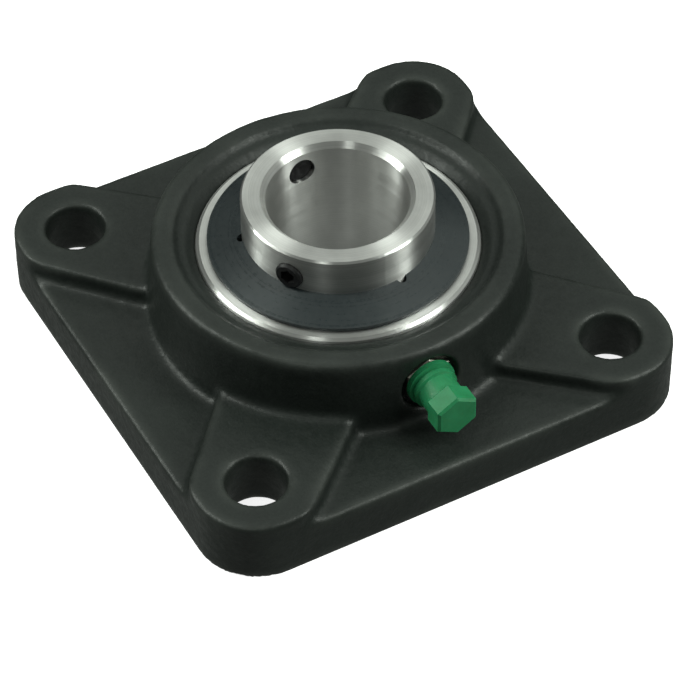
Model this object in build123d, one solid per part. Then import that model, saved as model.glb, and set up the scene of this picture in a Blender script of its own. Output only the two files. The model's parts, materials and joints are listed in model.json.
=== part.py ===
from build123d import *
from math import cos, pi, radians, sin, sqrt
import os

# Four-bolt flange bearing unit for a 30 mm shaft: a square cast housing with a spherical
# seat, and in it a self-aligning ball bearing insert whose wide inner ring is locked to
# the shaft by two set screws.
#
# Millimetres. The origin is the centre of the mounting face. +Z is the shaft axis, from
# the mounting face to the open hub. +X points at the grease nipple.

# Housing casting
FLANGE_SIDE = 109.5          # square flange, across the flats
BOLT_SPACING = 83.0          # hole to hole, both ways
BOLT_R = 6.3
BOLT_RIM_FILLET = 0.8
BOLT_BACK_CHAMFER = 2.2
CORNER_R = FLANGE_SIDE / 2 - BOLT_SPACING / 2
POCKET_FLOOR_Z = 10.8        # low floors between the bolt pads
PAD_Z = 14.8                 # top of the bolt pads
PAD_HALF_WIDTH = 13.5        # half the width of a pad across its bolt hole
PAD_FOOT_HALF_WIDTH = 14.6   # and where it meets the hub
HUB_TOP_Z = 29.2
HUB_BASE_R = 40.8            # the hub tapers a little, as a casting does
HUB_TOP_R = 39.1
ROOT_FILLET = 2.0            # hub and pad roots
PAD_EDGE_FILLET = 1.2
RIM_FILLET = 0.7             # outer top edges of the flange
HUB_EDGE_FILLET = 1.6
BOTTOM_FILLET = 0.6
MOUTH_CHAMFER = 1.0

# Spherical seat, and the opening around it
INSERT_Z = 17.6              # height of the insert's centre above the mounting face
INSERT_R = 31.0              # outer ring sphere
SEAT_CLEARANCE = 0.04
SEAT_R = INSERT_R + SEAT_CLEARANCE
SEAT_LOW_Z = 8.0
SEAT_HIGH_Z = 26.2
LEDGE_Z = 27.8
LEDGE_IN_R = 32.2
LEDGE_OUT_R = 33.4
OPENING_R = 34.4             # at the top of the hub
OPENING_FILLET = 0.6
BACK_R = 30.2                # opening in the mounting face
LOADING_SLOT_WIDTH = 19.6    # lets the outer ring in edgewise
LOADING_SLOT_EXTRA = 0.3

# Grease passage
NIPPLE_Z = 19.7
NIPPLE_SEAT_X = 37.4         # spot face in the side of the hub
NIPPLE_SEAT_R = 6.4
THREAD_R = 3.0               # M6 thread of the nipple
THREAD_CLEARANCE = 0.03
THREAD_LENGTH = 4.6
OIL_HOLE_R = 1.5

# Outer ring
OUTER_RING_WIDTH = 19.0
OUTER_FACE_CHAMFER = 0.5
SEAL_SEAT_R = 27.0
SEAL_SEAT_DEPTH = 2.6
OUTER_LAND_R = 25.6
OIL_GROOVE_WIDTH = 4.6
OIL_GROOVE_DEPTH = 0.7
OIL_GROOVE_Z = INSERT_Z + 3.4
RING_OIL_HOLE_R = 0.75
RING_OIL_HOLE_Z = INSERT_Z + 4.7
RING_OIL_HOLES = 3

# Balls and raceways
BALL_COUNT = 9
BALL_R = 4.7625
PITCH_R = 23.0
RACE_CLEARANCE = 0.015
RACE_R = 4.953               # 52% of the ball's diameter
BALL_STEP = 360 / BALL_COUNT

# Inner ring
BORE_R = 15.0
INNER_R = 20.15
INNER_LOW_Z = 1.6
INNER_HIGH_Z = 39.6
BORE_CHAMFER = 1.1
INNER_CHAMFER = 0.4

# Set screws
SCREW_R = 3.0
SCREW_CLEARANCE = 0.05
SCREW_Z = INNER_HIGH_Z - 5.7
SCREW_ANGLES = (-58.0, -178.0)
SCREW_TIP_R = 15.5           # distance of the cup point from the shaft axis
SCREW_LENGTH = 5.5
SCREW_SOCKET = 3.0           # across flats
SCREW_SOCKET_DEPTH = 2.6
SCREW_CUP_R = 1.9
SCREW_CUP_DEPTH = 0.9
SCREW_CHAMFER = 0.4

# Cage
CAGE_SHEET = 0.8
CAGE_IN_R = 21.4
CAGE_OUT_R = 24.6
POCKET_CLEARANCE = 0.12
RIVET_R = 0.6
RIVET_HEAD_R = 1.1
RIVET_HEAD_HEIGHT = 0.5
RIVET_CLEARANCE = 0.01

# Seals
SEAL_IN_R = INNER_R + 0.1
SEAL_OUT_R = SEAL_SEAT_R
SEAL_THICKNESS = 1.5
SEAL_LIP_LENGTH = 0.7
SEAL_LIP_THICKNESS = 0.6

# Slingers, as heights from the insert's centre
SLINGER_SHEET = 0.8
SLINGER_TOP = 13.2           # where the cone meets the inner ring
SLINGER_RIM_R = 27.35
SLINGER_RIM_TOP = 10.45
SLINGER_RIM_LOW = 9.75
SLINGER_HUB_LOW = 9.3
SLINGER_NOTCHES = 3
SLINGER_NOTCH_R = 1.1
SLINGER_NOTCH_ANGLE = 11.3

# Grease nipple and its cap, as distances along X
NIPPLE_HEX = 9.6             # across flats
NIPPLE_HEX_X = (NIPPLE_SEAT_X, 38.4)
NIPPLE_NECK_R = 2.2
NIPPLE_NECK_X = 40.6
NIPPLE_HEAD_R = 3.2
NIPPLE_HEAD_X = (41.8, 43.2)
NIPPLE_TIP_R = 1.7
NIPPLE_TIP_X = 45.2
NIPPLE_BORE_R = 1.1
NIPPLE_FEED_R = 0.7
NIPPLE_BORE_X = (38.6, 44.5)
NIPPLE_ORIFICE_R = 0.75
CHECK_BALL_R = 1.0
CHECK_BALL_GAP = 0.02
SPRING_WIRE_R = 0.12
SPRING_COIL_R = 0.8
SPRING_TURNS = 5
CAP_CLEARANCE = 0.12
CAP_OPEN_X = 38.52
CAP_RIM_R = 5.3
CAP_RIM_X = 39.7
CAP_BEAD_R = 4.8
CAP_BEAD_X = (40.5, 41.5)
CAP_BODY_R = 4.25
CAP_GRIP_X = (45.3, 50.2)
CAP_GRIP_HEX = 8.9           # across flats
CAP_GRIP_CHAMFER = 0.5
CAP_CAVITY_X = 45.8

CUT_MARGIN = 1.0             # how far a cutting shape runs past the face it cuts
TINY = 0.01                  # for picking edges by where they lie


def turned(points):
    """Solid of revolution about Z from a closed outline of (radius, height) points."""
    outline = Plane.XZ * Polyline(*points, close=True)
    return revolve(make_face(outline), Axis.Z)


def turned_edges(edges):
    """Solid of revolution about Z from edges drawn in the (radius, height) plane."""
    return revolve(make_face(Plane.XZ * Curve(edges)), Axis.Z)


def along_x(shape, z):
    """Lay a shape made about Z down, so that its axis runs along +X at height z."""
    return Pos(0, 0, z) * Rot(0, 90, 0) * shape


def around_z(shape, angle):
    return Rot(0, 0, angle) * shape


def mirrored_insert(shape):
    """The same piece on the other side of the insert's middle plane."""
    return mirror(shape, Plane.XY.offset(INSERT_Z))


def sphere_radius_at(radius, height):
    """Radius of the circle at a height above a sphere's centre."""
    return sqrt(radius**2 - height**2)


# ---------------------------------------------------------------- housing

def pad_band():
    """Plan of one pad along +X, tapering a little away from the hub."""
    foot_x = HUB_BASE_R - ROOT_FILLET
    hole_x = BOLT_SPACING / sqrt(2)
    end_x = FLANGE_SIDE
    taper = (PAD_FOOT_HALF_WIDTH - PAD_HALF_WIDTH) / (hole_x - foot_x)
    end = PAD_HALF_WIDTH - taper * (end_x - hole_x)
    foot = PAD_FOOT_HALF_WIDTH + taper * foot_x
    return make_face(Polyline((0, -foot), (end_x, -end), (end_x, end), (0, foot), close=True))


def flange_blank():
    """Square flange with four raised diagonal pads, and the tapered hub."""
    outline = RectangleRounded(FLANGE_SIDE, FLANGE_SIDE, CORNER_R)
    bands = Circle(HUB_TOP_R) + [Rot(0, 0, turn) * pad_band() for turn in (45, 135, 225, 315)]
    floor = extrude(outline, POCKET_FLOOR_Z)
    pads = extrude(outline & bands, PAD_Z)
    hub = Pos(0, 0, HUB_TOP_Z / 2) * Cone(HUB_BASE_R, HUB_TOP_R, HUB_TOP_Z)
    return floor + pads + hub


def hub_radius_at(z):
    return HUB_BASE_R + (HUB_TOP_R - HUB_BASE_R) * z / HUB_TOP_Z


def root_edges(blank):
    """Concave edges where the hub and the pad walls rise."""
    edges = []
    for edge in blank.edges():
        middle = edge.position_at(0.5)
        box = edge.bounding_box()
        radius = sqrt(middle.X**2 + middle.Y**2)
        on_hub = abs(radius - hub_radius_at(middle.Z)) < TINY
        hub_foot = on_hub and middle.Z < HUB_TOP_Z - 1
        wall_foot = abs(box.max.Z - POCKET_FLOOR_Z) < TINY and abs(box.min.Z - POCKET_FLOOR_Z) < TINY
        on_rim = max(abs(middle.X), abs(middle.Y)) > FLANGE_SIDE / 2 - TINY
        if hub_foot or (wall_foot and not on_rim):
            edges.append(edge)
    return edges


def pad_edges(blank):
    """Straight top edges along both sides of each pad."""
    lines = blank.edges().filter_by(GeomType.LINE)
    lines = [e for e in lines if abs(e.position_at(0.5).Z - PAD_Z) < TINY]
    return [e for e in lines if min(abs(e.tangent_at(0.5).X), abs(e.tangent_at(0.5).Y)) > TINY]


def rim_edges(blank):
    """Top edges round the outside of the flange, with the pads' ends."""
    half = FLANGE_SIDE / 2
    edges = []
    for edge in blank.edges():
        middle = edge.position_at(0.5)
        corner_x = abs(middle.X) - BOLT_SPACING / 2
        corner_y = abs(middle.Y) - BOLT_SPACING / 2
        on_side = max(abs(middle.X), abs(middle.Y)) > half - TINY
        on_corner = min(corner_x, corner_y) > 0 and sqrt(corner_x**2 + corner_y**2) > CORNER_R - TINY
        if (on_side or on_corner) and edge.bounding_box().min.Z > TINY:
            edges.append(edge)
    return edges


def rounded_blank():
    """The blank with its cast radii: pad edges, roots, rims and hub edge in turn."""
    blank = flange_blank()
    blank = fillet(pad_edges(blank), PAD_EDGE_FILLET)
    blank = fillet(root_edges(blank), ROOT_FILLET)
    blank = fillet(rim_edges(blank), RIM_FILLET)
    bottom = blank.faces().sort_by(Axis.Z)[0].edges()
    blank = fillet(bottom, BOTTOM_FILLET)
    hub_edge = blank.edges().filter_by(GeomType.CIRCLE).group_by(Axis.Z)[-1]
    return fillet(hub_edge, HUB_EDGE_FILLET)


def bore_cut():
    """Opening through the casting: mouth, spherical seat, ledge and hub opening."""
    low_r = sphere_radius_at(SEAT_R, INSERT_Z - SEAT_LOW_Z)
    high_r = sphere_radius_at(SEAT_R, SEAT_HIGH_Z - INSERT_Z)
    mouth_r = BACK_R + MOUTH_CHAMFER
    below = Polyline(
        (0, SEAT_LOW_Z), (0, -CUT_MARGIN), (mouth_r, -CUT_MARGIN), (mouth_r, 0),
        (BACK_R, MOUTH_CHAMFER), (low_r, SEAT_LOW_Z),
    )
    seat = ThreePointArc((low_r, SEAT_LOW_Z), (SEAT_R, INSERT_Z), (high_r, SEAT_HIGH_Z))
    above = Polyline(
        (high_r, SEAT_HIGH_Z), (LEDGE_IN_R, LEDGE_Z), (LEDGE_OUT_R, LEDGE_Z),
        (OPENING_R, HUB_TOP_Z), (OPENING_R, HUB_TOP_Z + CUT_MARGIN), (0, HUB_TOP_Z + CUT_MARGIN),
        (0, SEAT_LOW_Z),
    )
    return turned_edges([below, seat, above])


def loading_slots():
    """Two slots behind the seat, through which the outer ring goes in edgewise."""
    height = INSERT_Z + CUT_MARGIN
    drum = Cylinder(SEAT_R + LOADING_SLOT_EXTRA, height)
    slab = Box(LOADING_SLOT_WIDTH, 2 * FLANGE_SIDE, height)
    return Pos(0, 0, height / 2 - CUT_MARGIN) * (drum & slab)


def bolt_places():
    return GridLocations(BOLT_SPACING, BOLT_SPACING, 2, 2)


def bolt_hole():
    """Cutter for a cast bolt hole: flared at the mounting face, rounded at the pad."""
    back_r = BOLT_R + BOLT_BACK_CHAMFER
    rim_z = PAD_Z - BOLT_RIM_FILLET
    middle_r = BOLT_R + BOLT_RIM_FILLET * (1 - cos(pi / 4))
    middle_z = rim_z + BOLT_RIM_FILLET * sin(pi / 4)
    rim_r = BOLT_R + BOLT_RIM_FILLET
    below = Polyline((rim_r, PAD_Z), (0, PAD_Z), (0, -CUT_MARGIN), (back_r, -CUT_MARGIN),
                     (back_r, 0), (BOLT_R, BOLT_BACK_CHAMFER), (BOLT_R, rim_z))
    rim = ThreePointArc((BOLT_R, rim_z), (middle_r, middle_z), (rim_r, PAD_Z))
    return turned_edges([below, rim])


def housing():
    body = rounded_blank()
    spot_face = Pos(0, 0, NIPPLE_SEAT_X) * Cylinder(
        NIPPLE_SEAT_R, HUB_BASE_R, align=(Align.CENTER, Align.CENTER, Align.MIN))
    body -= along_x(spot_face, NIPPLE_Z)
    body -= bore_cut()
    opening_edge = [e for e in body.edges().filter_by(GeomType.CIRCLE)
                    if abs(e.radius - OPENING_R) < TINY and e.position_at(0).Z > HUB_TOP_Z - TINY]
    body = fillet(opening_edge, OPENING_FILLET)
    body -= loading_slots()
    body -= bolt_places() * bolt_hole()
    thread_hole_r = THREAD_R + THREAD_CLEARANCE
    thread_start = NIPPLE_SEAT_X - THREAD_LENGTH - 2 * THREAD_CLEARANCE
    thread_hole = Pos(0, 0, thread_start) * Cylinder(
        thread_hole_r, 2 * THREAD_LENGTH, align=(Align.CENTER, Align.CENTER, Align.MIN))
    oil_hole = Pos(0, 0, SEAT_R - 2 * CUT_MARGIN) * Cylinder(
        OIL_HOLE_R, THREAD_LENGTH, align=(Align.CENTER, Align.CENTER, Align.MIN))
    body -= along_x(thread_hole, NIPPLE_Z)
    body -= along_x(oil_hole, NIPPLE_Z)
    return body


# ---------------------------------------------------------------- insert

def outer_ring():
    half = OUTER_RING_WIDTH / 2
    face_r = sphere_radius_at(INSERT_R, half)
    race_bottom = PITCH_R + BALL_R + RACE_CLEARANCE
    race_centre = race_bottom - RACE_R
    race_half = sphere_radius_at(RACE_R, OUTER_LAND_R - race_centre)
    seal_step = half - SEAL_SEAT_DEPTH
    sphere = ThreePointArc((face_r, -half), (INSERT_R, 0), (face_r, half))
    top = Polyline((face_r, half), (SEAL_SEAT_R, half), (SEAL_SEAT_R, seal_step),
                   (OUTER_LAND_R, seal_step), (OUTER_LAND_R, race_half))
    race = ThreePointArc((OUTER_LAND_R, race_half), (race_bottom, 0), (OUTER_LAND_R, -race_half))
    low = Polyline((OUTER_LAND_R, -race_half), (OUTER_LAND_R, -seal_step), (SEAL_SEAT_R, -seal_step),
                   (SEAL_SEAT_R, -half), (face_r, -half))
    ring = Pos(0, 0, INSERT_Z) * turned_edges([sphere, top, race, low])
    rims = [e for e in ring.edges().filter_by(GeomType.CIRCLE) if abs(e.radius - face_r) < 0.01]
    ring = chamfer(rims, OUTER_FACE_CHAMFER)
    groove_r = sphere_radius_at(INSERT_R, OIL_GROOVE_Z - INSERT_Z) - OIL_GROOVE_DEPTH
    groove = Cylinder(INSERT_R + CUT_MARGIN, OIL_GROOVE_WIDTH) - Cylinder(groove_r, OIL_GROOVE_WIDTH)
    ring -= Pos(0, 0, OIL_GROOVE_Z) * groove
    oil_hole = Cylinder(RING_OIL_HOLE_R, INSERT_R + CUT_MARGIN,
                        align=(Align.CENTER, Align.CENTER, Align.MIN))
    for number in range(RING_OIL_HOLES):
        ring -= around_z(along_x(oil_hole, RING_OIL_HOLE_Z), number * 360 / RING_OIL_HOLES)
    return ring


def screw_hole():
    return Cylinder(SCREW_R + SCREW_CLEARANCE, INNER_R + CUT_MARGIN,
                    align=(Align.CENTER, Align.CENTER, Align.MIN))


def inner_ring():
    race_bottom = PITCH_R - BALL_R - RACE_CLEARANCE
    race_centre = race_bottom + RACE_R
    race_half = sphere_radius_at(RACE_R, race_centre - INNER_R)
    race_top_z = INSERT_Z + race_half
    race_low_z = INSERT_Z - race_half
    wall = Polyline(
        (INNER_R, race_top_z), (INNER_R, INNER_HIGH_Z - INNER_CHAMFER),
        (INNER_R - INNER_CHAMFER, INNER_HIGH_Z), (BORE_R + BORE_CHAMFER, INNER_HIGH_Z),
        (BORE_R, INNER_HIGH_Z - BORE_CHAMFER), (BORE_R, INNER_LOW_Z + BORE_CHAMFER),
        (BORE_R + BORE_CHAMFER, INNER_LOW_Z), (INNER_R - INNER_CHAMFER, INNER_LOW_Z),
        (INNER_R, INNER_LOW_Z + INNER_CHAMFER), (INNER_R, race_low_z),
    )
    race = ThreePointArc((INNER_R, race_low_z), (race_bottom, INSERT_Z), (INNER_R, race_top_z))
    ring = turned_edges([wall, race])
    for angle in SCREW_ANGLES:
        ring -= around_z(along_x(screw_hole(), SCREW_Z), angle)
    return ring


def ball(number):
    angle = radians(number * BALL_STEP)
    return Pos(PITCH_R * cos(angle), PITCH_R * sin(angle), INSERT_Z) * Sphere(BALL_R)


def ball_places():
    return PolarLocations(PITCH_R, BALL_COUNT)


def rivet_places():
    return PolarLocations(PITCH_R, BALL_COUNT, start_angle=BALL_STEP / 2)


def cage_half():
    """Front half of the pressed ribbon cage: domes over the balls, flats between."""
    dome_r = BALL_R + POCKET_CLEARANCE + CAGE_SHEET
    pocket_r = BALL_R + POCKET_CLEARANCE
    band = Cylinder(CAGE_OUT_R, dome_r) - Cylinder(CAGE_IN_R, dome_r)
    band = Pos(0, 0, dome_r / 2) * band
    flats = Pos(0, 0, CAGE_SHEET / 2) * Cylinder(CAGE_OUT_R, CAGE_SHEET)
    shape = band & (flats + ball_places() * Sphere(dome_r))
    shape -= ball_places() * Sphere(pocket_r)
    shape -= rivet_places() * Cylinder(RIVET_R + RIVET_CLEARANCE, 4 * CAGE_SHEET)
    return Pos(0, 0, INSERT_Z) * shape


def cage_rivets():
    """Rivets through the flats of both cage halves, a separate solid each."""
    shank = Cylinder(RIVET_R, 2 * CAGE_SHEET)
    head = Pos(0, 0, RIVET_HEAD_HEIGHT / 2) * Cylinder(RIVET_HEAD_R, RIVET_HEAD_HEIGHT)
    head = fillet(head.faces().sort_by(Axis.Z)[-1].edges(), RIVET_HEAD_HEIGHT * 0.8)
    top_head = Pos(0, 0, CAGE_SHEET) * head
    rivet = shank + top_head + mirror(top_head, Plane.XY)
    return Compound(children=[Pos(0, 0, INSERT_Z) * place * rivet for place in rivet_places()])


def seal_front():
    """Rubber-covered seal pressed in the outer ring, with a lip towards the inner ring."""
    low = OUTER_RING_WIDTH / 2 - SEAL_SEAT_DEPTH
    high = low + SEAL_THICKNESS
    lip_low = low + (SEAL_THICKNESS - SEAL_LIP_THICKNESS) / 2
    lip_r = SEAL_IN_R + SEAL_LIP_LENGTH
    return Pos(0, 0, INSERT_Z) * turned([
        (SEAL_IN_R, lip_low), (lip_r, low), (SEAL_OUT_R, low), (SEAL_OUT_R, high),
        (lip_r, high), (SEAL_IN_R, lip_low + SEAL_LIP_THICKNESS),
    ])


def slinger_front():
    """Pressed sheet cone on the inner ring that covers the seal and throws off dirt."""
    rim_inner_r = SLINGER_RIM_R - SLINGER_SHEET
    hub_r = INNER_R + SLINGER_SHEET
    cone = turned([
        (INNER_R, SLINGER_TOP), (SLINGER_RIM_R, SLINGER_RIM_TOP), (SLINGER_RIM_R, SLINGER_RIM_LOW),
        (rim_inner_r, SLINGER_RIM_LOW), (hub_r, SLINGER_TOP - 1.4 * SLINGER_SHEET),
        (hub_r, SLINGER_HUB_LOW), (INNER_R, SLINGER_HUB_LOW),
    ])
    notch = Pos(INNER_R, 0, 0) * Cylinder(SLINGER_NOTCH_R, 4 * SLINGER_TOP)
    for number in range(SLINGER_NOTCHES):
        cone -= around_z(notch, SLINGER_NOTCH_ANGLE + number * 360 / SLINGER_NOTCHES)
    return Pos(0, 0, INSERT_Z) * cone


# ---------------------------------------------------------------- set screws

def set_screw(angle):
    """Hexagon socket set screw with a cup point, lying radially in the inner ring."""
    screw = Cylinder(SCREW_R, SCREW_LENGTH, align=(Align.CENTER, Align.CENTER, Align.MIN))
    screw = chamfer(screw.edges().filter_by(GeomType.CIRCLE), SCREW_CHAMFER)
    socket = extrude(RegularPolygon(SCREW_SOCKET / 2, 6, major_radius=False), SCREW_SOCKET_DEPTH)
    screw -= Pos(0, 0, SCREW_LENGTH - SCREW_SOCKET_DEPTH) * socket
    cup = Cone(SCREW_CUP_R, 0, SCREW_CUP_DEPTH, align=(Align.CENTER, Align.CENTER, Align.MIN))
    screw -= cup
    return around_z(along_x(Pos(0, 0, SCREW_TIP_R) * screw, SCREW_Z), angle)


# ---------------------------------------------------------------- grease nipple

def grease_nipple():
    """Threaded nipple: stem, hexagon, neck and head, drilled for the check valve."""
    hex_low, hex_high = NIPPLE_HEX_X
    bore_low, bore_high = NIPPLE_BORE_X
    stem_x = NIPPLE_SEAT_X - THREAD_LENGTH
    body = turned([
        (0, stem_x), (THREAD_R, stem_x), (THREAD_R, hex_high), (NIPPLE_NECK_R, NIPPLE_NECK_X),
        (NIPPLE_HEAD_R, NIPPLE_HEAD_X[0]), (NIPPLE_HEAD_R, NIPPLE_HEAD_X[1]),
        (NIPPLE_TIP_R, NIPPLE_TIP_X), (0, NIPPLE_TIP_X),
    ])
    hexagon = extrude(RegularPolygon(NIPPLE_HEX / 2, 6, major_radius=False), hex_high - hex_low)
    hexagon = chamfer(hexagon.faces().sort_by(Axis.Z)[-1].edges(), 0.3)
    body += Pos(0, 0, hex_low) * hexagon
    body -= turned([
        (0, stem_x - CUT_MARGIN), (NIPPLE_FEED_R, stem_x - CUT_MARGIN), (NIPPLE_FEED_R, bore_low),
        (NIPPLE_BORE_R, bore_low), (NIPPLE_BORE_R, bore_high), (NIPPLE_ORIFICE_R, bore_high),
        (NIPPLE_ORIFICE_R, NIPPLE_TIP_X + CUT_MARGIN), (0, NIPPLE_TIP_X + CUT_MARGIN),
    ])
    return along_x(body, NIPPLE_Z)


def check_ball_x():
    """Centre of the check ball, just off the edge of the orifice that it closes."""
    return NIPPLE_BORE_X[1] - sphere_radius_at(CHECK_BALL_R, NIPPLE_ORIFICE_R) - CHECK_BALL_GAP


def nipple_check_ball():
    return Pos(check_ball_x(), 0, NIPPLE_Z) * Sphere(CHECK_BALL_R)


def nipple_spring():
    """Coil spring between the nipple's step and the check ball."""
    low = NIPPLE_BORE_X[0] + 2 * SPRING_WIRE_R
    high = check_ball_x() - CHECK_BALL_R
    path = Helix((high - low) / SPRING_TURNS, high - low, SPRING_COIL_R)
    start = Plane(origin=path @ 0, z_dir=path % 0)
    coil = sweep(start * Circle(SPRING_WIRE_R), path, is_frenet=True)
    return along_x(Pos(0, 0, low) * coil, NIPPLE_Z)


def nipple_cap():
    """Soft plastic dust cap: open rim, bead, round body, hexagonal grip, blind cavity."""
    cavity_r = NIPPLE_HEAD_R + CAP_CLEARANCE
    grip_low, grip_high = CAP_GRIP_X
    bead_low, bead_high = CAP_BEAD_X
    body = turned([
        (0, CAP_OPEN_X), (CAP_RIM_R, CAP_OPEN_X), (CAP_RIM_R, CAP_RIM_X),
        (CAP_BODY_R, CAP_RIM_X + 0.3), (CAP_BODY_R, bead_low - 0.2), (CAP_BEAD_R, bead_low),
        (CAP_BEAD_R, bead_high), (CAP_BODY_R, bead_high + 0.3), (CAP_BODY_R, grip_high - 1),
        (0, grip_high - 1),
    ])
    grip = extrude(RegularPolygon(CAP_GRIP_HEX / 2, 6, major_radius=False), grip_high - grip_low)
    ends = grip.faces().sort_by(Axis.Z)
    grip = chamfer(ends[0].edges() + ends[-1].edges(), CAP_GRIP_CHAMFER)
    body += Pos(0, 0, grip_low) * grip
    length = CAP_CAVITY_X - CAP_OPEN_X + CUT_MARGIN
    cavity = Cylinder(cavity_r, length, align=(Align.CENTER, Align.CENTER, Align.MIN))
    body -= Pos(0, 0, CAP_OPEN_X - CUT_MARGIN) * cavity
    return along_x(body, NIPPLE_Z)


# ---------------------------------------------------------------- all nodes

def build_nodes():
    nodes = {
        "housing": housing(),
        "outer_ring": outer_ring(),
        "inner_ring": inner_ring(),
        "cage_front": cage_half(),
        "cage_back": mirrored_insert(cage_half()),
        "cage_rivets": cage_rivets(),
        "seal_front": seal_front(),
        "seal_back": mirrored_insert(seal_front()),
        "slinger_front": slinger_front(),
        "slinger_back": mirrored_insert(slinger_front()),
        "grease_nipple": grease_nipple(),
        "nipple_check_ball": nipple_check_ball(),
        "nipple_spring": nipple_spring(),
        "nipple_cap": nipple_cap(),
    }
    for number in range(BALL_COUNT):
        nodes[f"ball_{number + 1}"] = ball(number)
    for number, angle in enumerate(SCREW_ANGLES, start=1):
        nodes[f"set_screw_{number}"] = set_screw(angle)
    return nodes


os.makedirs("parts", exist_ok=True)
for name, shape in build_nodes().items():
    export_step(shape, f"parts/{name}.step")
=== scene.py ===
import json
from math import cos, radians, sin

import bpy
import numpy as np
from mathutils import Matrix, Vector, noise
from mathutils.bvhtree import BVHTree


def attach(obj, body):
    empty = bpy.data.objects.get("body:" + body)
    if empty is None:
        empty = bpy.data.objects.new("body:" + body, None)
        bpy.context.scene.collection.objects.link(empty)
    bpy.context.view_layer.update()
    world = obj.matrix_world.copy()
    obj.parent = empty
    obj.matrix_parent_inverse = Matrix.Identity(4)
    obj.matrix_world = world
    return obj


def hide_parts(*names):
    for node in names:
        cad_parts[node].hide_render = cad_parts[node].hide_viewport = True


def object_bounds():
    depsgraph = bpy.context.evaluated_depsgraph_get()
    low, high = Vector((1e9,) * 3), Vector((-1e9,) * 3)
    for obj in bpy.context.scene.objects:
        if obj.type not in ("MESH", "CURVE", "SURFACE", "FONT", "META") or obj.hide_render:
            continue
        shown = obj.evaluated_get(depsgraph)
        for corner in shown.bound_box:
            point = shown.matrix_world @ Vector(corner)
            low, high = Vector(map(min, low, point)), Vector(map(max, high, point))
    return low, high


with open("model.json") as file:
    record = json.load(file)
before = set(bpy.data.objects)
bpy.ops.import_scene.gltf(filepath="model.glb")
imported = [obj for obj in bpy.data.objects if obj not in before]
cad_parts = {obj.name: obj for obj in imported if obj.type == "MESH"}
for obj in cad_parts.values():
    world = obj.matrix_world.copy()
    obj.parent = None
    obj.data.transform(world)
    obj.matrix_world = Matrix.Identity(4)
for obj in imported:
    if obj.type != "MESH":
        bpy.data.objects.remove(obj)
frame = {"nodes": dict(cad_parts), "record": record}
cad_low, cad_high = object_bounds()

MM = 0.001

# Camera: where it stands about the object, and its long lens
CAMERA_AZIMUTH = 61.774
CAMERA_ELEVATION = 45.952
CAMERA_ROLL = -0.613
CAMERA_DISTANCE = 777.5 * MM
CAMERA_LENS = 189.376
CAMERA_SHIFT = (0.00995, -0.02579)
CAMERA_SENSOR = 36.0
CAMERA_CLIP = (0.05, 20.0)

# Lamps: name, azimuth from the camera, elevation, distance, size, power
LAMPS = (
    ("back_box", 156, 56, 0.55, (0.95, 0.52), 0.90),
    ("left_box", -94, 38, 0.9, (0.12, 0.9), 5.6),
    ("right_box", 75, 38, 0.9, (0.12, 0.9), 5.8),
    ("camera_box", -18, 44, 0.9, (0.12, 0.12), 0.42),
)
LIGHT_TINT = (0.935, 1.0, 0.925)

# World: its strength underneath, at the horizon and overhead, and the heights of these
WORLD_BELOW, WORLD_BELOW_Z = 0.24, -0.7
WORLD_LOW, WORLD_LOW_Z = 0.02, -0.1
WORLD_HIGH, WORLD_HIGH_Z = 0.26, 0.9

# Floor: half its side, how far it lies under the object, and how it shines
FLOOR_HALF = 3
FLOOR_DROP = 0.05 * MM
FLOOR_COLOUR = (0.85, 0.85, 0.85, 1)
FLOOR_ROUGHNESS = 0.9
FLOOR_GLOW = 0.85

# Casting skin
VOXEL = 0.66 * MM
SMOOTHING_ROUNDS = 5
SKIN_DEPTH = 0.10 * MM       # deepest hollow of the cast surface
SEAT_GUARD_R = 31.6 * MM     # machined inside, left exact
SKIN_LOW_Z = 0.25 * MM       # the mounting face is machined too
HOLLOWS = ((0.6, 260, (0, 0, 0)), (0.4, 700, (7, 1, 3)))   # share, fineness, shift
HOLLOW_MEAN = 0.5
HOLLOW_GAIN = 0.8
WEAR_BEND = 0.060 * MM       # outward bend that is worn right through
WEAR_ROUNDS = 4

# Bolt pads: round ends, which fade in just above the low floor
BOLT_SPACING = 83.0 * MM
PAD_END_R = 13.5 * MM
LOW_FLOOR_Z = 10.8 * MM
PAD_FADE_LOW = 0.3 * MM
PAD_FADE_HEIGHT = 1.2 * MM

# Base colours, from dark to light
PAINT = ((0.0070, 0.0095, 0.0082), (0.0120, 0.0155, 0.0135))
PAINT_GRAIN = (0.022, 0.027, 0.024)
PAINT_WORN = (0.085, 0.092, 0.084)
STEEL = ((0.60, 0.60, 0.59), (0.80, 0.795, 0.78))
STEEL_SMEAR = 0.72           # of the dark steel
BLUED = ((0.016, 0.023, 0.026), (0.026, 0.034, 0.037))
BLUED_SPECK = (0.045, 0.05, 0.052)
BLACK_OXIDE = ((0.012, 0.012, 0.013), (0.034, 0.034, 0.035))
PLATING = ((0.36, 0.36, 0.30), (0.58, 0.57, 0.50))
PRESSED = ((0.38, 0.37, 0.35), (0.56, 0.55, 0.52))
RUBBER = ((0.012, 0.012, 0.013), (0.030, 0.030, 0.030))
GREEN = ((0.016, 0.19, 0.070), (0.026, 0.26, 0.105))
STEEL_GLOSS = (0.27, 0.36)
STEEL_ANISOTROPY = 0.97
STEEL_GRIND_TURN = 0.25      # brings the reflections up and down the turned faces


def direction(azimuth, elevation):
    """Unit vector from the object towards a viewer or a light at these angles."""
    a, e = radians(azimuth), radians(elevation)
    return Vector((sin(a) * cos(e), -cos(a) * cos(e), sin(e)))


def aimed(back, roll=0.0):
    """Rotation of a camera or lamp that looks along -back."""
    turn = (-back).to_track_quat("-Z", "Y").to_matrix()
    return turn @ Matrix.Rotation(radians(roll), 3, "Z")


def link(thing):
    """The thing, now in the scene."""
    bpy.context.scene.collection.objects.link(thing)
    return thing


# ---------------------------------------------------------------- materials

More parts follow.
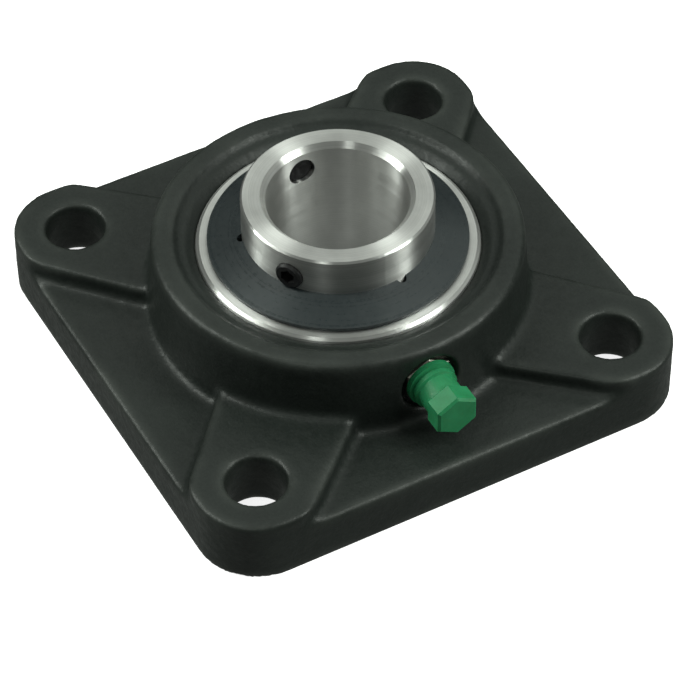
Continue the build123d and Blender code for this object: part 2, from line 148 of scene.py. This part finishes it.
class Nodes:
    """Short way to build one material's nodes."""

    def __init__(self, name):
        material = bpy.data.materials.get(name) or bpy.data.materials.new(name)
        material.use_nodes = True
        self.material = material
        self.tree = material.node_tree
        self.tree.nodes.clear()
        self.shader = self.add("ShaderNodeBsdfPrincipled")
        output = self.add("ShaderNodeOutputMaterial")
        self.join(self.shader.outputs["BSDF"], output.inputs["Surface"])
        self.place = self.add("ShaderNodeTexCoord").outputs["Object"]

    def add(self, kind, **settings):
        node = self.tree.nodes.new(kind)
        for key, value in settings.items():
            setattr(node, key, value)
        return node

    def join(self, source, target):
        self.tree.links.new(source, target)

    def grain(self, scale, detail=4.0, roughness=0.6, stretch=None, place=None):
        """Noise value; stretch scales the coordinates first."""
        place = place or self.place
        if stretch:
            mapping = self.add("ShaderNodeMapping")
            mapping.inputs["Scale"].default_value = stretch
            self.join(place, mapping.inputs["Vector"])
            place = mapping.outputs["Vector"]
        node = self.add("ShaderNodeTexNoise")
        node.inputs["Scale"].default_value = scale
        node.inputs["Detail"].default_value = detail
        node.inputs["Roughness"].default_value = roughness
        self.join(place, node.inputs["Vector"])
        return node.outputs["Fac"]

    def span(self, value, low, high, from_low=0.3, from_high=0.7):
        """A value from one range to another."""
        node = self.add("ShaderNodeMapRange")
        for key, number in (("From Min", from_low), ("From Max", from_high),
                            ("To Min", low), ("To Max", high)):
            node.inputs[key].default_value = number
        self.join(value, node.inputs["Value"])
        return node.outputs["Result"]

    def maths(self, operation, first, second=0.0):
        """One sum of numbers or outputs."""
        node = self.add("ShaderNodeMath", operation=operation)
        for socket, value in zip(node.inputs, (first, second)):
            if isinstance(value, (int, float)):
                socket.default_value = value
            else:
                self.join(value, socket)
        return node.outputs["Value"]

    def blend(self, fac, low, high):
        """Colour between two colours, or two colour outputs."""
        node = self.add("ShaderNodeMix", data_type="RGBA")
        sockets = [s for s in node.inputs if s.type == "RGBA"]
        for socket, value in zip(sockets, (low, high)):
            if isinstance(value, tuple):
                socket.default_value = (*value, 1)
            else:
                self.join(value, socket)
        self.join(fac, node.inputs[0])
        return [s for s in node.outputs if s.type == "RGBA"][0]

    def bump(self, *layers):
        """Stack of (height, strength, distance) bumps into the shader's normal."""
        last = None
        for height, strength, distance in layers:
            node = self.add("ShaderNodeBump")
            node.inputs["Strength"].default_value = strength
            node.inputs["Distance"].default_value = distance
            self.join(height, node.inputs["Height"])
            if last:
                self.join(last, node.inputs["Normal"])
            last = node.outputs["Normal"]
        self.join(last, self.shader.inputs["Normal"])

    def radius(self):
        """Distance from the Z axis, and height."""
        parts = self.add("ShaderNodeSeparateXYZ")
        self.join(self.place, parts.inputs["Vector"])
        x2 = self.maths("MULTIPLY", parts.outputs["X"], parts.outputs["X"])
        y2 = self.maths("MULTIPLY", parts.outputs["Y"], parts.outputs["Y"])
        return self.maths("SQRT", self.maths("ADD", x2, y2)), parts.outputs["Z"]

    def turned(self, fineness):
        """Noise drawn out round the Z axis, as a lathe or grinder leaves it."""
        radius, height = self.radius()
        vector = self.add("ShaderNodeCombineXYZ")
        self.join(radius, vector.inputs["X"])
        self.join(height, vector.inputs["Z"])
        return self.grain(fineness, 3.0, 0.7, place=vector.outputs["Vector"])

    def put(self, **values):
        """Uniform values on the shader's own sockets."""
        for key, value in values.items():
            self.shader.inputs[key.replace("_", " ")].default_value = value


def cast_paint(name):
    """Black paint over a rough casting, thin and worn on the edges."""
    n = Nodes(name)
    patches = n.grain(60.0, 3.0)
    fine = n.grain(1500.0, 5.0, 0.65)
    coarse = n.grain(620.0, 4.0, 0.6)
    edge = n.add("ShaderNodeAttribute", attribute_name="edge").outputs["Fac"]
    skin = n.blend(n.span(patches, 0.0, 1.0), *PAINT)
    skin = n.blend(n.span(fine, 0.0, 0.5), skin, PAINT_GRAIN)
    worn = n.maths("MULTIPLY", edge, n.span(patches, 0.05, 0.45, 0.35, 0.65))
    n.join(n.blend(worn, skin, PAINT_WORN), n.shader.inputs["Base Color"])
    n.join(n.span(coarse, 0.34, 0.50), n.shader.inputs["Roughness"])
    n.bump((coarse, 0.50, 0.20 * MM), (fine, 0.45, 0.10 * MM))
    n.put(Specular_IOR_Level=0.35)
    return n.material


def turned_steel(name):
    """Ground or turned steel: fine rings, small smears and a few marks."""
    n = Nodes(name)
    rings = n.turned(5200.0)
    wide = n.turned(900.0)
    smear = n.grain(160.0, 4.0, 0.6)
    tint = n.blend(n.span(rings, 0.0, 1.0), *STEEL)
    smeared = tuple(STEEL_SMEAR * c for c in STEEL[0])
    tint = n.blend(n.span(smear, 0.0, 0.35), tint, smeared)
    n.join(tint, n.shader.inputs["Base Color"])
    gloss = n.maths("ADD", n.span(wide, *STEEL_GLOSS), n.span(smear, 0.0, 0.06))
    n.join(gloss, n.shader.inputs["Roughness"])
    n.bump((rings, 0.16, 0.03 * MM), (wide, 0.10, 0.06 * MM))
    tangent = n.add("ShaderNodeTangent", direction_type="RADIAL", axis="Z")
    n.join(tangent.outputs["Tangent"], n.shader.inputs["Tangent"])
    n.put(Metallic=1.0, Anisotropic=STEEL_ANISOTROPY, Anisotropic_Rotation=STEEL_GRIND_TURN)
    return n.material


def dark_sheet(name):
    """Blued pressed sheet: glossy, with faint rings and dull specks."""
    n = Nodes(name)
    rings = n.turned(2600.0)
    speck = n.grain(900.0, 5.0, 0.7)
    smear = n.grain(110.0, 3.0)
    tint = n.blend(n.span(smear, 0.0, 1.0), *BLUED)
    tint = n.blend(n.span(speck, 0.0, 0.3), tint, BLUED_SPECK)
    n.join(tint, n.shader.inputs["Base Color"])
    n.join(n.maths("ADD", n.span(rings, 0.20, 0.34), n.span(speck, 0.0, 0.08)),
           n.shader.inputs["Roughness"])
    n.bump((rings, 0.14, 0.05 * MM), (speck, 0.10, 0.03 * MM))
    n.put(Metallic=0.25, Specular_IOR_Level=0.6)
    return n.material


def black_oxide(name):
    """Blackened screws, greyer where they are rubbed."""
    n = Nodes(name)
    grain = n.grain(2200.0, 5.0, 0.7)
    wear = n.grain(500.0, 3.0)
    tint = n.blend(n.span(wear, 0.0, 1.0), *BLACK_OXIDE)
    n.join(tint, n.shader.inputs["Base Color"])
    n.join(n.span(grain, 0.32, 0.52), n.shader.inputs["Roughness"])
    n.bump((grain, 0.25, 0.04 * MM), (wear, 0.15, 0.08 * MM))
    n.put(Metallic=0.5)
    return n.material


def plated(name):
    """Dull yellowish plating of the nipple."""
    n = Nodes(name)
    grain = n.grain(1800.0, 4.0, 0.7)
    cloud = n.grain(260.0, 3.0)
    tint = n.blend(n.span(cloud, 0.0, 1.0), *PLATING)
    n.join(tint, n.shader.inputs["Base Color"])
    n.join(n.span(grain, 0.26, 0.44), n.shader.inputs["Roughness"])
    n.bump((grain, 0.22, 0.03 * MM), (cloud, 0.10, 0.10 * MM))
    n.put(Metallic=1.0)
    return n.material


def pressed_sheet(name):
    """Bare pressed sheet of the cage."""
    n = Nodes(name)
    grain = n.grain(700.0, 5.0, 0.7, (1, 1, 4))
    cloud = n.grain(140.0, 3.0)
    tint = n.blend(n.span(cloud, 0.0, 1.0), *PRESSED)
    n.join(tint, n.shader.inputs["Base Color"])
    n.join(n.span(grain, 0.28, 0.46), n.shader.inputs["Roughness"])
    n.bump((grain, 0.20, 0.05 * MM), (cloud, 0.12, 0.15 * MM))
    n.put(Metallic=1.0)
    return n.material


def rubber(name):
    """Matte seal rubber with a little dust."""
    n = Nodes(name)
    grain = n.grain(1300.0, 5.0, 0.7)
    dust = n.grain(180.0, 4.0, 0.7)
    tint = n.blend(n.span(dust, 0.0, 1.0), *RUBBER)
    n.join(tint, n.shader.inputs["Base Color"])
    n.join(n.span(grain, 0.58, 0.78), n.shader.inputs["Roughness"])
    n.bump((grain, 0.30, 0.05 * MM), (dust, 0.10, 0.15 * MM))
    return n.material


def green_plastic(name):
    """Moulded cap plastic: cloudy, with a fine mould texture."""
    n = Nodes(name)
    grain = n.grain(1900.0, 4.0, 0.6)
    cloud = n.grain(240.0, 4.0, 0.6)
    n.join(n.blend(n.span(cloud, 0.0, 1.0), *GREEN), n.shader.inputs["Base Color"])
    n.join(n.span(grain, 0.36, 0.52), n.shader.inputs["Roughness"])
    n.bump((grain, 0.16, 0.04 * MM), (cloud, 0.12, 0.18 * MM))
    n.put(Subsurface_Weight=0.12, Subsurface_Scale=1 * MM, Specular_IOR_Level=0.35)
    return n.material


MAKERS = {
    "cast_iron_paint": cast_paint,
    "bearing_steel": turned_steel,
    "cage_steel": pressed_sheet,
    "seal_rubber": rubber,
    "dark_sheet_steel": dark_sheet,
    "black_screw_steel": black_oxide,
    "plated_steel": plated,
    "green_plastic": green_plastic,
}
MATERIALS = {slot: make(slot) for slot, make in MAKERS.items()}


def dress_cad_nodes():
    """The new material on every CAD piece."""
    slots = {part["node"]: part["material_slot"] for part in frame["record"]["subparts"]}
    for node, piece in frame["nodes"].items():
        for slot in piece.material_slots:
            slot.material = MATERIALS[slots[node]]


# ---------------------------------------------------------------- casting

def remeshed(source, voxel):
    """Fine even mesh over a CAD piece, whose own mesh stays as it is."""
    copy = link(bpy.data.objects.new("remesh", source.data.copy()))
    modifier = copy.modifiers.new("remesh", "REMESH")
    modifier.mode = "VOXEL"
    modifier.voxel_size = voxel
    bpy.context.view_layer.update()
    evaluated = copy.evaluated_get(bpy.context.evaluated_depsgraph_get())
    mesh = bpy.data.meshes.new_from_object(evaluated)
    bpy.data.objects.remove(copy)
    return mesh


def read_points(mesh):
    points = np.empty(len(mesh.vertices) * 3)
    mesh.vertices.foreach_get("co", points)
    return points.reshape(-1, 3)


def write_points(mesh, points):
    mesh.vertices.foreach_set("co", points.ravel())
    mesh.update()


def read_normals(mesh):
    normals = np.empty(len(mesh.vertices) * 3)
    mesh.vertex_normals.foreach_get("vector", normals)
    return normals.reshape(-1, 3)


def mesh_edges(mesh):
    edges = np.empty(len(mesh.edges) * 2, dtype=np.int64)
    mesh.edges.foreach_get("vertices", edges)
    return edges.reshape(-1, 2)


def snapped(points, source):
    """Points moved to the nearest place on the CAD surface."""
    data = source.data
    corners = [v.co for v in data.vertices]
    faces = [tuple(p.vertices) for p in data.polygons]
    tree = BVHTree.FromPolygons(corners, faces)
    return np.array([tree.find_nearest(Vector(p))[0] for p in points])


def neighbour_mean(values, edges):
    """Mean of each point's neighbours."""
    total = np.zeros_like(values)
    count = np.zeros(len(values))
    for a, b in ((0, 1), (1, 0)):
        np.add.at(total, edges[:, a], values[edges[:, b]])
        np.add.at(count, edges[:, a], 1)
    return total / np.maximum(count, 1)[:, None]


def smoothed(points, edges, free, rounds):
    """Even the points out where they are free to move."""
    for _ in range(rounds):
        points = points + free[:, None] * 0.5 * (neighbour_mean(points, edges) - points)
    return points


def cast_weight(points):
    """1 on the cast skin, 0 on machined faces."""
    radius = np.hypot(points[:, 0], points[:, 1])
    outside = np.clip((radius - SEAT_GUARD_R) / MM, 0, 1)
    above = np.clip((points[:, 2] - SKIN_LOW_Z) / MM, 0, 1)
    return outside * above


def rounded_pads(points):
    """Pull the corners of the pads in to a round end about each bolt hole."""
    half = BOLT_SPACING / 2
    centre = np.sign(points[:, :2]) * half
    away = points[:, :2] - centre
    reach = np.hypot(away[:, 0], away[:, 1])
    outward = (away * np.sign(points[:, :2])).sum(axis=1) > 0
    height = np.clip((points[:, 2] - LOW_FLOOR_Z - PAD_FADE_LOW) / PAD_FADE_HEIGHT, 0, 1)
    excess = np.where(outward, np.maximum(reach - PAD_END_R, 0), 0) * height
    points = points.copy()
    points[:, :2] -= away / np.maximum(reach, 1e-9)[:, None] * excess[:, None]
    return points


def edge_wear(mesh, points, edges):
    """How sharply the surface bends outwards at each point, 0 to 1."""
    normals = read_normals(mesh)
    bend = ((points - neighbour_mean(points, edges)) * normals).sum(axis=1)[:, None]
    for _ in range(WEAR_ROUNDS):
        bend = neighbour_mean(bend, edges) * 0.5 + bend * 0.5
    return np.clip(bend[:, 0] / WEAR_BEND, 0, 1)


def hollow_depth(point):
    """How deep the cast skin dips at a point, 0 to SKIN_DEPTH."""
    rough = sum(share * noise.noise(point * fineness + Vector(shift))
                for share, fineness, shift in HOLLOWS)
    return SKIN_DEPTH * min(max(HOLLOW_MEAN + HOLLOW_GAIN * rough, 0), 1)


def paint_edges(mesh, wear):
    """The wear as an attribute, which the paint reads."""
    layer = mesh.attributes.new("edge", "FLOAT", "POINT")
    layer.data.foreach_set("value", wear.astype(np.float32))


def new_piece(name, mesh, slot, body, node):
    """A visual piece that rides on a body in place of a CAD node."""
    for polygon in mesh.polygons:
        polygon.use_smooth = True
    mesh.materials.clear()
    mesh.materials.append(MATERIALS[slot])
    piece = link(bpy.data.objects.new(name, mesh))
    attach(piece, body)
    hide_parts(node)
    return piece


def make_casting():
    """The housing with a cast skin: soft edges, shallow hollows, worn corners."""
    source = frame["nodes"]["housing"]
    mesh = remeshed(source, VOXEL)
    edges = mesh_edges(mesh)
    points = rounded_pads(snapped(read_points(mesh), source))
    weight = cast_weight(points)
    points = smoothed(points, edges, weight, SMOOTHING_ROUNDS)
    write_points(mesh, points)
    wear = edge_wear(mesh, points, edges)
    normals = read_normals(mesh)
    depth = np.array([hollow_depth(Vector(p)) for p in points]) * weight
    points = points - normals * depth[:, None]
    points[:, 2] = np.maximum(points[:, 2], cad_low[2])
    write_points(mesh, points)
    paint_edges(mesh, wear * np.clip(weight * 2, 0, 1))
    new_piece("casting", mesh, "cast_iron_paint", "housing", "housing")


# ---------------------------------------------------------------- camera and stage

def make_camera():
    """The scene's camera, looking down at the object from the set angle."""
    data = bpy.data.cameras.new("camera")
    data.lens = CAMERA_LENS
    data.sensor_width = CAMERA_SENSOR
    data.shift_x, data.shift_y = CAMERA_SHIFT
    data.clip_start, data.clip_end = CAMERA_CLIP
    camera = link(bpy.data.objects.new("camera", data))
    back = direction(CAMERA_AZIMUTH, CAMERA_ELEVATION)
    place = Matrix.Translation(back * CAMERA_DISTANCE)
    camera.matrix_world = place @ aimed(back, CAMERA_ROLL).to_4x4()
    bpy.context.scene.camera = camera


def make_lamp(name, azimuth, elevation, distance, size, power):
    """A soft box aimed at the object."""
    data = bpy.data.lights.new(name, "AREA")
    data.shape = "RECTANGLE"
    data.size, data.size_y = size
    data.energy = power
    data.color = LIGHT_TINT
    lamp = link(bpy.data.objects.new(name, data))
    back = direction(CAMERA_AZIMUTH + azimuth, elevation)
    lamp.matrix_world = Matrix.Translation(back * distance) @ aimed(back).to_4x4()


def make_world():
    """Dim studio, brighter towards the ceiling and underneath."""
    world = bpy.data.worlds.new("studio")
    bpy.context.scene.world = world
    world.use_nodes = True
    nodes, links = world.node_tree.nodes, world.node_tree.links
    place = nodes.new("ShaderNodeTexCoord")
    parts = nodes.new("ShaderNodeSeparateXYZ")
    links.new(place.outputs["Generated"], parts.inputs["Vector"])
    total = nodes.new("ShaderNodeMath")
    for number, (low, high, far, near) in enumerate((
            (WORLD_LOW_Z, WORLD_HIGH_Z, WORLD_LOW, WORLD_HIGH),
            (WORLD_BELOW_Z, WORLD_LOW_Z, WORLD_BELOW, 0.0))):
        height = nodes.new("ShaderNodeMapRange")
        height.inputs["From Min"].default_value = low
        height.inputs["From Max"].default_value = high
        height.inputs["To Min"].default_value = far
        height.inputs["To Max"].default_value = near
        links.new(parts.outputs["Z"], height.inputs["Value"])
        links.new(height.outputs["Result"], total.inputs[number])
    background = nodes["Background"]
    background.inputs["Color"].default_value = (*LIGHT_TINT, 1)
    links.new(total.outputs["Value"], background.inputs["Strength"])


def make_floor():
    """Plain pale floor that the object doesn't mirror."""
    mesh = bpy.data.meshes.new("floor")
    signs = ((-1, -1), (1, -1), (1, 1), (-1, 1))
    mesh.from_pydata([(x * FLOOR_HALF, y * FLOOR_HALF, 0) for x, y in signs], [], [(0, 1, 2, 3)])
    floor = link(bpy.data.objects.new("floor", mesh))
    floor.location.z = -FLOOR_DROP
    floor.visible_glossy = False
    floor.visible_diffuse = False
    material = bpy.data.materials.new("floor_paper")
    material.use_nodes = True
    shader = material.node_tree.nodes["Principled BSDF"]
    shader.inputs["Base Color"].default_value = FLOOR_COLOUR
    shader.inputs["Roughness"].default_value = FLOOR_ROUGHNESS
    shader.inputs["Emission Color"].default_value = (1, 1, 1, 1)
    shader.inputs["Emission Strength"].default_value = FLOOR_GLOW
    mesh.materials.append(material)


dress_cad_nodes()
make_casting()
make_camera()
make_world()
for lamp in LAMPS:
    make_lamp(*lamp)
make_floor()
bpy.context.scene.view_settings.view_transform = "Standard"
